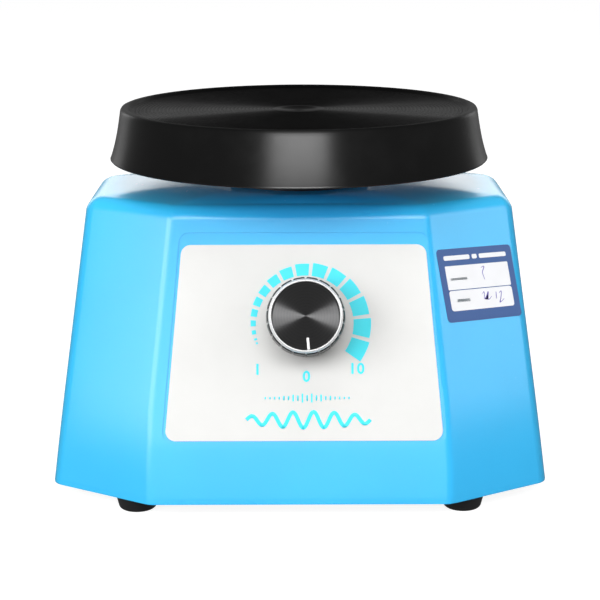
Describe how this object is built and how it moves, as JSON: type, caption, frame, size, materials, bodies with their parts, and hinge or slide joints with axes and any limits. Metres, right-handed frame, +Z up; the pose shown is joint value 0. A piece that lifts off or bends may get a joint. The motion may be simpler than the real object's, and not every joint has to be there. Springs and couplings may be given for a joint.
{
  "type": "vibrating table mixer",
  "caption": "Bench vibrator: tapered eight-sided housing with a front speed dial and a round ribbed rubber tray on a magnet-driven table",
  "frame": {"origin": "centre of the box at the level of the table that the feet stand on", "axes": "+X to the right of a person facing the dial, -Y towards that person, +Z up"},
  "size_m": [0.165, 0.1327, 0.1257],
  "materials": {
    "blue_shell": "moulded sky-blue ABS, satin-gloss",
    "steel_plate": "zinc-plated steel sheet",
    "black_rubber": "moulded black rubber, satin",
    "screw_steel": "zinc-plated screws",
    "white_label": "printed film",
    "cyan_print": "cyan ink",
    "sticker": "printed paper seal",
    "plate_label": "blank foil plate",
    "knob_black": "black moulded skirt",
    "knob_bright": "turned bright ring",
    "knob_face": "black anodised spun face",
    "white_paint": "white pointer",
    "pot_metal": "pressed can and shaft",
    "brass": "brass nut",
    "board": "green circuit board",
    "component": "black component",
    "capacitor_body": "film capacitor",
    "terminal": "green terminal block",
    "sink": "extruded heat sink",
    "bright_steel": "zinc-plated sheet",
    "lamination": "stacked steel laminations",
    "bobbin": "natural nylon",
    "copper": "enamelled copper wire",
    "gland_plastic": "black nylon",
    "glass_fuse": "glass tube with caps",
    "lead_yellow": "insulated lead",
    "lead_red": "insulated lead",
    "lead_brown": "insulated lead"
  },
  "bodies": {
    "root": {"housing": "blue_shell", "base_plate": "steel_plate", "foot_front_left": "black_rubber", "foot_front_right": "black_rubber", "foot_rear_left": "black_rubber", "foot_rear_right": "black_rubber", "foot_screws": "screw_steel", "panel_label": "white_label", "scale_marks": "cyan_print", "inspection_sticker": "sticker", "rating_plate": "plate_label", "pot_body": "pot_metal", "pot_washer": "screw_steel", "pot_nut": "brass", "control_board": "board", "board_standoffs": "brass", "board_screws": "screw_steel", "triac": "component", "heat_sink": "sink", "capacitor": "capacitor_body", "terminal_block": "terminal", "magnet_bracket": "bright_steel", "bracket_screws": "screw_steel", "magnet_core": "lamination", "core_bolts": "screw_steel", "core_nuts": "screw_steel", "coil_bobbin": "bobbin", "coil_winding": "copper", "pillars": "bright_steel", "pillar_screws": "screw_steel", "rubber_mounts": "black_rubber", "dust_boot": "black_rubber", "cord_gland": "gland_plastic", "gland_nut": "gland_plastic", "fuse_holder": "gland_plastic", "fuse_nut": "gland_plastic", "fuse": "glass_fuse", "pot_leads": "lead_yellow", "coil_leads": "lead_red", "mains_leads": "lead_brown"},
    "knob": {"knob_body": "knob_black", "knob_ring": "knob_bright", "knob_cap": "knob_face", "knob_pointer": "white_paint", "knob_set_screw": "screw_steel", "pot_shaft": "pot_metal"},
    "table": {"carrier_plate": "bright_steel", "carrier_nuts": "screw_steel", "armature_plate": "lamination", "armature_screws": "screw_steel", "table_stem": "bright_steel", "stem_screws": "screw_steel", "table_disc": "bright_steel", "table_screw": "screw_steel"},
    "tray": {"tray": "black_rubber"},
    "fuse_cap": {"fuse_cap": "gland_plastic"}
  },
  "joints": [
    {"name": "knob_turn", "type": "hinge", "parent": "root", "child": "knob", "pos_m": [0.002, -0.05002, 0.06347], "axis": [0, 0.9588, -0.284], "range_deg": [0, 306]},
    {"name": "table_shake", "type": "slide", "parent": "root", "child": "table", "axis": [0, 0, 1], "range_m": [-0.0008, 0.0008], "stiffness_N_per_m": 30000, "springref_m": 0.00022, "deforming": ["rubber_mounts", "dust_boot"]},
    {"name": "tray_lift", "type": "slide", "parent": "table", "child": "tray", "axis": [0, 0, 1], "range_m": [0, 0.03]},
    {"name": "fuse_cap_turn", "type": "hinge", "parent": "root", "child": "fuse_cap", "pos_m": [0.026, 0.05475, 0.0475], "axis": [0, 0.9588, 0.284], "range_deg": [0, 90]}
  ]
}
